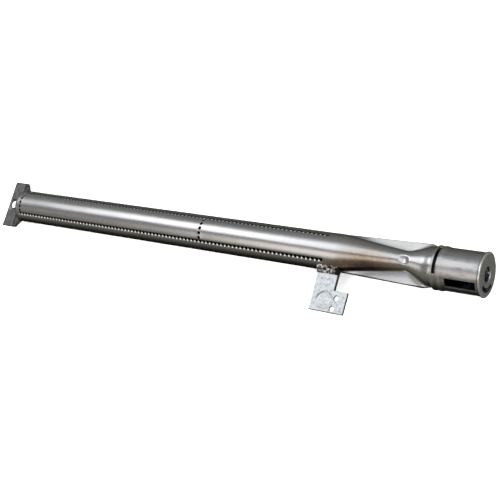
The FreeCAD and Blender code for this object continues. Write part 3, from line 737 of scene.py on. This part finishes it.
class TubeSheet(SheetMesh):
    """Burner tube as one closed sheet, with its openings cut before the skins are laid."""

    def __init__(self):
        super().__init__()
        self.stations = tube_stations()
        self.lines = line_list()
        self.angles = [None if lower else -side * run for run, mixer, side, lower in self.lines]
        self.inner_from = near_index(self.stations, TAIL_INSIDE)
        self.outer = [self.ring(x, 0.0) for x in self.stations]
        self.inner = [self.ring(x, WALL) for x in self.stations[self.inner_from:]]
        self.skip_outer, self.skip_inner = set(), set()

    def ring(self, x, inward):
        return [self.point(sheet_point(x, *line, inward=inward)) for line in self.lines]

    def line_at(self, degrees):
        """Index of the upper line nearest an angle, turned from up towards -Y."""
        upper = [k for k, angle in enumerate(self.angles) if angle is not None]
        return min(upper, key=lambda k: abs(self.angles[k] - degrees))

    def mirror(self, j):
        """Line under the axis that matches an upper line."""
        return (len(self.lines) - j) % len(self.lines)

    def open_patch(self, low, high, left, right):
        """Leave a patch out of both skins and give the loops around it, outer then inner."""
        back = self.inner_from
        for i in range(low, high):
            self.skip_outer.update((i, j) for j in range(left, right))
            self.skip_inner.update((i - back, j) for j in range(left, right))
        return (patch_loop(self.outer, low, high, left, right),
                patch_loop(self.inner, low - back, high - back, left, right))

    def cut_port(self, x, degrees, low, high):
        """One punched port inside the patch of stations low..high."""
        left, right = self.line_at(degrees - PORT_PATCH), self.line_at(degrees + PORT_PATCH)
        loop_out, loop_in = self.open_patch(low, high, left, right)
        turns = []
        for i, j in loop_cells(low, high, left, right):
            across = math.radians(self.angles[j] - degrees) * TUBE_R
            turns.append(math.atan2(across, self.stations[i] - x))
        turns = doubled_angles(turns)

        def hole_ring(radius, base, drop):
            places = []
            for turn in turns:
                theta = degrees + math.degrees(radius * math.sin(turn) / TUBE_R)
                along = x + radius * math.cos(turn)
                level = base - drop
                if base == TUBE_R:
                    level -= groove_drop(along, theta)
                places.append(self.point(radial_point(along, theta, level)))
            return places

        rims = [hole_ring(PORT_LIP, TUBE_R, 0.0), hole_ring(PORT_EDGE, TUBE_R, 0.24)]
        fan_in(self, loop_out, rims)
        inside = hole_ring(PORT_BACK, TUBE_R - WALL, 0.3)
        self.slot = INSIDE
        self.strip(rims[-1], inside)
        fan_in(self, loop_in, [hole_ring(1.2, TUBE_R - WALL, 0.1), inside])
        self.slot = OUTSIDE

    def cut_ports(self):
        """Two rows of ports along the run and two arcs of ports across its top."""
        first = near_index(self.stations, PORT_FIRST - 0.5 * PORT_PITCH)
        middle = near_index(self.stations, CROSS_PORT_X - 2.4)
        for row in (-PORT_ROW, PORT_ROW):
            for k in range(PORT_COUNT):
                self.cut_port(PORT_FIRST + PORT_PITCH * k, row, first + 2 * k, first + 2 * k + 2)
        for degrees in CROSS_PORTS:
            self.cut_port(PORT_FIRST, degrees, first, first + 2)
            self.cut_port(CROSS_PORT_X, degrees, middle, middle + 3)

    def cut_windows(self):
        """Air windows, one on the bracket side and one opposite."""
        low, high = near_index(self.stations, WINDOW_BACK), near_index(self.stations, WINDOW_FRONT)
        for place in ((-1, False), (1, True)):
            picked = [k for k, line in enumerate(self.lines)
                      if line[2:] == place and abs(line[1] - WINDOW_TURN) < WINDOW_HALF]
            self.strip(*self.open_patch(low, high, min(picked), max(picked)))

    def cut_tail_hole(self):
        """Hole through both layers of the pinched tail."""
        low, high = near_index(self.stations, -415.2), near_index(self.stations, -405.6)
        left, right = self.line_at(-21.7), self.line_at(21.7)
        loops = []
        for layer in (lambda j: j, self.mirror):
            for i in range(low, high):
                self.skip_outer.update((i, min(layer(j), layer(j + 1))) for j in range(left, right))
            loops.append([self.outer[i][layer(j)] for i, j in loop_cells(low, high, left, right)])
        turns = doubled_angles([math.atan2(v.co.y / MM, v.co.x / MM - TAIL_HOLE_X) for v in loops[0]])
        wide = TAIL_HOLE_R + 0.25
        hole = [self.circle(TAIL_HOLE_X, 0.0, radius, height, turns)
                for radius, height in ((wide, 0.8), (TAIL_HOLE_R, 0.62), (TAIL_HOLE_R, -0.62), (wide, -0.8))]
        fan_in(self, loops[0], hole)
        fan_in(self, loops[1], hole[3:])

    def lay_skins(self):
        """Outer and inner skins around the openings."""
        self.skin(self.outer, skip=self.skip_outer)
        self.slot = INSIDE
        self.skin(self.inner, inside_out=True, skip=self.skip_inner)
        self.slot = OUTSIDE

    def close_tail(self):
        """Tail end face with the seam between its two layers, and the end of the inside."""
        outer, inner = self.outer[0], self.inner[0]
        last = 2 * (len(LINES) - 1)
        seam = {j: self.point((TAIL_END + 0.5, 0.97 * outer[j].co.y / MM, 0.0)) for j in range(1, last)}
        for j in range(last):
            k = j + 1
            under_j, under_k = self.mirror(j), self.mirror(k)
            first, second = seam.get(j, outer[j]), seam.get(k, outer[k])
            self.face([outer[j], outer[k], second, first])
            self.face([outer[under_k], outer[under_j], first, second])
            self.face([inner[k], inner[j], inner[under_j], inner[under_k]])

    def close_mixer(self):
        """Rolled rim, end wall with its collar and crescent gap, then back along the inside."""
        front_high, front_low, back_low, back_high = (1.58, 10.8), (1.56, 8.0), (0.7, 8.0), (0.7, 10.8)
        profile = [(-0.2, 13.0), (-0.17, 13.5), (-0.02, 13.85), (0.22, 14.1), (0.6, 14.2), (0.95, 14.1)]
        profile += [(1.22, 13.8), (1.42, 13.3), (1.52, 12.7), (1.57, 12.0), (1.6, 11.3)]
        profile += [front_high, (1.58, 9.4), front_low, (1.53, 6.6), (1.5, 5.7), (1.42, 5.35), (1.22, 5.1)]
        profile += [(0.9, 5.0), (-0.5, 5.0), (-0.6, 5.2), (-0.6, 5.7), (-0.5, 5.8), (0.6, 5.8), (0.7, 6.2)]
        profile += [back_low, (0.7, 9.4), back_high, (0.7, 11.6), (0.4, 11.9)]
        rings = []
        for x, radius in profile:
            rings.append([self.point((x, *place_around(line, radius))) for line in self.lines])
        gap = [k for k, line in enumerate(self.lines)
               if line[2] == -1 and CRESCENT[0] < turned_from_top(line) < CRESCENT[1]]
        left, right = min(gap), max(gap)
        front = (profile.index(front_high), profile.index(front_low))
        back = (profile.index(back_low), profile.index(back_high))
        skip = set()
        for low, high in (front, back):
            skip.update((i + 1, j) for i in range(low, high) for j in range(left, right))
        back_rings = rings[back[0]:back[1] + 1][::-1]
        self.slot = INSIDE
        self.strip(patch_loop(rings, *front, left, right),
                   patch_loop(back_rings, 0, len(back_rings) - 1, left, right))
        self.slot = OUTSIDE
        self.skin([self.outer[-1]] + rings + [self.inner[-1]], skip=skip)


def build_tube_mesh():
    """Whole burner tube: ports, windows, rolled rim and pinched tail."""
    sheet = TubeSheet()
    sheet.cut_ports()
    sheet.cut_windows()
    sheet.cut_tail_hole()
    sheet.lay_skins()
    sheet.close_tail()
    sheet.close_mixer()
    return sheet


def turned_from_top(line):
    """Angle of a line on the mixer end, from straight up round to straight down."""
    return 180.0 - line[1] if line[3] else line[1]


def place_around(line, radius):
    """Sideways and up position of a line at a radius on the round mixer end."""
    across, up = round_point(line[1], radius)
    return line[2] * across, -up if line[3] else up


def build_shutter_mesh():
    """Sleeve with a raised rear band, an adjusting slot and two windows."""
    sheet = SheetMesh()
    outline = [(-30.4, 13.35), (-30.38, 13.75), (-30.15, 14.05), (-29.85, 14.1), (-29.5, 13.95)]
    outline += [(-29.0, 13.8), (-28.0, 13.78), (-26.9, 13.8), (-26.5, 13.98), (-26.0, 14.05)]
    outline += [(-25.4, 13.98), (-24.7, 13.84), (-24.2, 13.62), (-23.8, 13.48)]
    outline += [(x, SHUTTER_R) for x in (-22.4, -20.9, -16.4, -12.0, -7.8, -4.0, -1.4, -0.8)]
    outline += [(-0.58, 13.36), (-0.5, 13.2)]
    openings = [SHUTTER_SLOT]
    for middle in (WINDOW_TURN, WINDOW_TURN + 180.0):
        openings.append((*SHUTTER_WINDOW, middle - WINDOW_HALF, middle + WINDOW_HALF))
    edges = sorted({round(turn % 360.0, 4) for opening in openings for turn in opening[2:]})
    full = []
    for start, stop in zip(edges, edges[1:] + [edges[0] + 360.0]):
        full += spread(start, stop, max(1, round((stop - start) / 5.0)))[:-1]
    count = len(full)
    xs = [x for x, radius in outline]
    outer = [[sheet.point(radial_point(x, turn, radius)) for turn in full] for x, radius in outline]
    inner = [[sheet.point(radial_point(x, turn, SHUTTER_BORE)) for turn in full] for x in xs]

    def column_at(degrees):
        return min(range(count), key=lambda k: abs(math.remainder(full[k] - degrees, 360.0)))

    skip = set()
    for x_low, x_high, first, last in openings:
        low, high = near_index(xs, x_low), near_index(xs, x_high)
        left = column_at(first)
        steps = (column_at(last) - left) % count
        columns = [(left + step) % count for step in range(steps + 1)]
        skip.update((i, j) for i in range(low, high) for j in columns[:-1])
        sheet.strip(*[[rings[i][columns[step]] for i, step in loop_cells(low, high, 0, steps)]
                      for rings in (outer, inner)])
    sheet.skin(outer, skip=skip)
    sheet.skin(inner, inside_out=True, skip=skip)
    sheet.strip(outer[0], inner[0])
    sheet.strip(outer[-1], inner[-1])
    return sheet


def bracket_height(x, y):
    """Lift of the plate's top: embossed ring and hammered unevenness."""
    away = math.hypot(x - DISC_X, y - DISC_Y)
    lift = -0.50 * ease((6.1 - away) / 0.75)
    lift += 0.12 * math.exp(-(((away - 6.5) / 0.5) ** 2))
    lift += 0.05 * noise.noise(Vector((x / 6.0, y / 6.0, 3.0)))
    return lift


def build_bracket_mesh():
    """L-shaped plate with an embossed disc, two punched holes and rounded sheared edges."""
    sheet = SheetMesh()
    strip_columns, notch_row = 22, 20
    xs = spread(BRACKET_X[0], BRACKET_X[1], strip_columns) + spread(BRACKET_X[1], BRACKET_X[2], 14)[1:]
    ys = spread(BRACKET_Y[0], BRACKET_Y[1], notch_row) + spread(BRACKET_Y[1], BRACKET_Y[2], 21)[1:]
    skip = set()
    loops = []
    for x, y in BRACKET_HOLES:
        low_x, low_y = near_index(xs, x) - 4, near_index(ys, y) - 4
        high_x, high_y = low_x + 8, min(low_y + 8, len(ys) - 2)
        skip.update((i, j) for i in range(low_x, high_x) for j in range(low_y, high_y))
        loops.append((x, y, [(i, j) for j, i in loop_cells(low_y, high_y, low_x, high_x)]))
    top, bottom = {}, {}

    def corner(table, base, i, j):
        if (i, j) not in table:
            table[(i, j)] = sheet.point((xs[i], ys[j], base + bracket_height(xs[i], ys[j])))
        return table[(i, j)]

    edge_use = {}
    for i in range(len(xs) - 1):
        for j in range(len(ys) - 1):
            if j < notch_row and i >= strip_columns:
                continue
            around = [(i, j), (i + 1, j), (i + 1, j + 1), (i, j + 1)]
            for edge in zip(around, around[1:] + around[:1]):
                edge_use[frozenset(edge)] = None if frozenset(edge) in edge_use else edge
            if (i, j) in skip:
                continue
            sheet.face([corner(top, BRACKET_TOP, *place) for place in around])
            sheet.face([corner(bottom, BRACKET_BOTTOM, *place) for place in reversed(around)])
    outline = {edge[0]: edge[1] for edge in edge_use.values() if edge}
    path = [next(iter(outline))]
    while outline[path[-1]] != path[0]:
        path.append(outline[path[-1]])
    edge_loops = [[top[key] for key in path]]
    for height in (0.55, -0.55):
        rounded = []
        for k, key in enumerate(path):
            middle = (top[key].co + bottom[key].co) / (2.0 * MM)
            rounded.append(sheet.point(push_out(path, k, xs, ys, middle, 0.10) + Vector((0, 0, height))))
        edge_loops.append(rounded)
    edge_loops.append([bottom[key] for key in path])
    for upper, lower in zip(edge_loops, edge_loops[1:]):
        sheet.strip(upper, lower)

    for x, y, loop in loops:
        turns = doubled_angles([math.atan2(ys[j] - y, xs[i] - x) for i, j in loop])
        rings = [sheet.circle(x, y, radius, height, turns) for radius, height in
                 ((2.0, 3.0), (1.85, 2.94), (1.75, 2.7), (1.75, 1.7), (1.85, 1.48), (2.0, 1.44))]
        fan_in(sheet, [top[key] for key in loop], rings)
        fan_in(sheet, [bottom[key] for key in loop], rings[5:])
    return sheet


def push_out(path, k, xs, ys, place, amount):
    """Move an outline point outwards, square to the outline, by an amount."""
    before, here, after = path[k - 1], path[k], path[(k + 1) % len(path)]
    first = Vector((xs[here[0]] - xs[before[0]], ys[here[1]] - ys[before[1]], 0.0)).normalized()
    second = Vector((xs[after[0]] - xs[here[0]], ys[after[1]] - ys[here[1]], 0.0)).normalized()
    along = (first + second).normalized()
    return place + Vector((-along.y, along.x, 0.0)) * amount


def build_weld_mesh():
    """Lumpy hand-laid bead between the tube wall and the plate."""
    sheet = SheetMesh()
    columns, rows = 52, 16
    grains = ((2.3, 2.2, 1.0, 0.75), (1.05, 4.5, 5.0, 0.42), (0.55, 9.0, 9.0, 0.16))
    root = [(-12.34, 2.8), (-12.3, 3.4)]
    toe = Vector((-15.8, 2.9))
    crest = Vector(round_point(-59.0, TUBE_R - 0.05))
    outward = Vector((toe.y - crest.y, crest.x - toe.x)).normalized()
    rings = []
    for i in range(columns + 1):
        x = WELD_START + WELD_LENGTH * i / columns
        end_fade = math.sqrt(max(0.0, 1.0 - abs(2.0 * i / columns - 1.0) ** 5))
        section = []
        for j in range(rows + 1):
            share = j / rows
            lumps = 0.75
            for size, spacing, layer, amount in grains:
                lumps += amount * noise.noise(Vector((x / size, share * spacing, layer)))
            section.append(crest.lerp(toe, share) + outward * 4.0 * share * (1.0 - share) * lumps * end_fade)
        rings.append([sheet.point((x, *place)) for place in section + root])
    sheet.skin(rings)
    sheet.face(rings[0])
    sheet.face(rings[-1][::-1])
    return sheet


# ---------------------------------------------------------------- stage


def soft_light(name, place, aim, size, power):
    """Rectangular softbox aimed at a point."""
    light = bpy.data.lights.new(name, "AREA")
    light.shape = "RECTANGLE"
    light.size, light.size_y = size
    light.energy = power
    lamp = bpy.data.objects.new(name, light)
    lamp.location = place
    lamp.visible_glossy = False
    lamp.rotation_euler = (Vector(aim) - Vector(place)).to_track_quat("-Z", "Y").to_euler()
    bpy.context.scene.collection.objects.link(lamp)


def panel_place(degrees):
    """Ramp position of an angle turned from straight up towards the bracket side."""
    return degrees / 360.0 + 0.5


# Angle about the tube axis in degrees, and the light coming from there.
PANELS = (
    (-170, (0.030, 0.030, 0.028)),
    (-135, (0.060, 0.060, 0.056)),
    (-108, (0.125, 0.128, 0.115)),
    (-76, (0.220, 0.225, 0.215)),
    (-56, (0.270, 0.285, 0.310)),
    (-28, (0.290, 0.305, 0.330)),
    (-2, (0.330, 0.340, 0.380)),
    (12, (0.235, 0.236, 0.260)),
    (34, (0.285, 0.276, 0.268)),
    (48, (0.205, 0.194, 0.175)),
    (84, (0.190, 0.184, 0.166)),
    (108, (0.085, 0.084, 0.072)),
    (126, (0.014, 0.014, 0.011)),
    (150, (0.006, 0.006, 0.005)),
)


def studio_world():
    """Surround of long soft panels: bright band overhead, dim sides and a dark floor line."""
    world = bpy.data.worlds.new("studio")
    world.use_nodes = True
    tree = world.node_tree
    tree.nodes.clear()
    b = NodeBoard(tree)
    direction = b.add("ShaderNodeTexCoord").outputs["Generated"]
    split = b.add("ShaderNodeSeparateXYZ", {0: direction}).outputs
    turn = b.math("ARCTAN2", b.times(split["Y"], -1.0), split["Z"])
    around = b.math("MULTIPLY_ADD", turn, 0.5 / math.pi, 0.5)
    colour = b.ramp(around, [(panel_place(degrees), light) for degrees, light in PANELS])
    along = split["X"]
    lower_edge = b.math("SUBTRACT", around, b.smooth(along, -0.66, -0.50, 0.0, 0.026))
    softbox = b.times(b.smooth(around, panel_place(-50), panel_place(-28)),
                      b.smooth(lower_edge, panel_place(-14), panel_place(0), 1.0, 0.0),
                      b.smooth(along, -0.755, -0.628), b.smooth(along, -0.64, -0.42, 2.25, 0.82))
    low_edge = b.math("ADD", around, b.smooth(along, -0.50, -0.44, 0.0, 0.035))
    low_panel = b.times(b.smooth(around, panel_place(10), panel_place(27)),
                        b.smooth(low_edge, panel_place(48), panel_place(64), 1.0, 0.0),
                        b.smooth(along, -0.605, -0.525), b.smooth(along, -0.47, -0.42, 1.45, 0.75))
    end_panel = b.smooth(along, 0.05, 0.25, 0.0, 0.15)
    for amount, tint in ((softbox, (1.0, 1.015, 1.04)), (low_panel, (1.0, 0.95, 0.91)),
                         (end_panel, (0.97, 1.0, 0.95))):
        glow = b.add("ShaderNodeVectorMath", {0: tint, "Scale": amount}, operation="SCALE").outputs[0]
        colour = b.vector("ADD", colour, glow)
    shade = b.add("ShaderNodeBackground", {"Color": colour, "Strength": 1.0})
    b.add("ShaderNodeOutputWorld", {"Surface": shade.outputs[0]})
    bpy.context.scene.world = world


# ---------------------------------------------------------------- operators


class BURNER_OT_stage(bpy.types.Operator):
    """Camera, floor, surround and lights"""

    bl_idname = "burner.stage"
    bl_label = "Stage"

    def execute(self, context):
        settings = context.scene.burner_stage
        camera = bpy.data.objects.new("camera", bpy.data.cameras.new("camera"))
        camera.data.sensor_width = 36.0
        camera.data.lens = settings.camera_lens
        camera.data.clip_start = 0.01
        camera.location = settings.camera_place
        camera.rotation_euler = Euler(settings.camera_turn, "XYZ")
        context.scene.collection.objects.link(camera)
        context.scene.camera = camera
        context.scene.view_settings.view_transform = "Standard"

        low = CAD_BOX[0][2]
        mesh = bpy.data.meshes.new("floor")
        mesh.from_pydata([(-12, -12, 0), (12, -12, 0), (12, 12, 0), (-12, 12, 0)], [], [(0, 1, 2, 3)])
        floor = bpy.data.objects.new("floor", mesh)
        floor.location = (-0.2, 0, low - 0.0002)
        floor.data.materials.append(floor_finish(settings))
        floor.visible_glossy = False
        context.scene.collection.objects.link(floor)

        studio_world()
        soft_light("overhead_wash", (-0.2, 0.0, 1.6), (-0.2, 0, 0), (3.2, 3.2), settings.key_power)
        soft_light("front_wash", (1.2, -1.2, 1.1), (-0.1, 0, 0), (1.2, 1.2), settings.fill_power)
        return {"FINISHED"}


class BURNER_OT_tube(bpy.types.Operator):
    """Formed burner tube with its ports and venturi"""

    bl_idname = "burner.tube"
    bl_label = "Burner tube"

    def execute(self, context):
        settings = context.scene.burner_finish
        tube = build_tube_mesh().finish("formed_tube", [stainless_finish(settings), inside_finish()])
        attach(tube, "burner")
        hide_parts("burner_tube")
        return {"FINISHED"}


class BURNER_OT_shutter(bpy.types.Operator):
    """Air shutter that turns on the mixer end"""

    bl_idname = "burner.shutter"
    bl_label = "Air shutter"

    def execute(self, context):
        shutter = build_shutter_mesh().finish("shutter_sleeve", [shutter_finish(context.scene.burner_finish)])
        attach(shutter, "shutter")
        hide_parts("air_shutter")
        return {"FINISHED"}


class BURNER_OT_bracket(bpy.types.Operator):
    """Galvanised side bracket"""

    bl_idname = "burner.bracket"
    bl_label = "Side bracket"

    def execute(self, context):
        plate = build_bracket_mesh().finish("bracket_plate", [galvanised_finish(context.scene.burner_finish)])
        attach(plate, "burner")
        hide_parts("side_bracket")
        return {"FINISHED"}


class BURNER_OT_weld(bpy.types.Operator):
    """Weld bead between the bracket and the tube"""

    bl_idname = "burner.weld"
    bl_label = "Bracket weld"

    def execute(self, context):
        bead = build_weld_mesh().finish("weld_bead", [weld_finish(context.scene.burner_finish)], 60.0)
        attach(bead, "burner")
        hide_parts("bracket_weld")
        return {"FINISHED"}


class BURNER_PT_panel(bpy.types.Panel):
    """Buttons and settings for the burner"""

    bl_idname = "BURNER_PT_panel"
    bl_label = "Tube burner"
    bl_space_type = "VIEW_3D"
    bl_region_type = "UI"
    bl_category = "Burner"

    def draw(self, context):
        layout = self.layout
        for operator in OPERATORS:
            layout.operator(operator.bl_idname)
        for group in (context.scene.burner_stage, context.scene.burner_finish):
            for name in group.__annotations__:
                layout.prop(group, name)


OPERATORS = (BURNER_OT_stage, BURNER_OT_tube, BURNER_OT_shutter, BURNER_OT_bracket, BURNER_OT_weld)
CLASSES = (BurnerStageSettings, BurnerFinishSettings, *OPERATORS, BURNER_PT_panel)


def register():
    for item in CLASSES:
        bpy.utils.register_class(item)
    bpy.types.Scene.burner_stage = PointerProperty(type=BurnerStageSettings)
    bpy.types.Scene.burner_finish = PointerProperty(type=BurnerFinishSettings)


def unregister():
    del bpy.types.Scene.burner_finish
    del bpy.types.Scene.burner_stage
    for item in reversed(CLASSES):
        bpy.utils.unregister_class(item)


def main():
    register()
    bpy.ops.burner.stage()
    bpy.ops.burner.tube()
    bpy.ops.burner.shutter()
    bpy.ops.burner.bracket()
    bpy.ops.burner.weld()


if __name__ == "__main__":
    main()
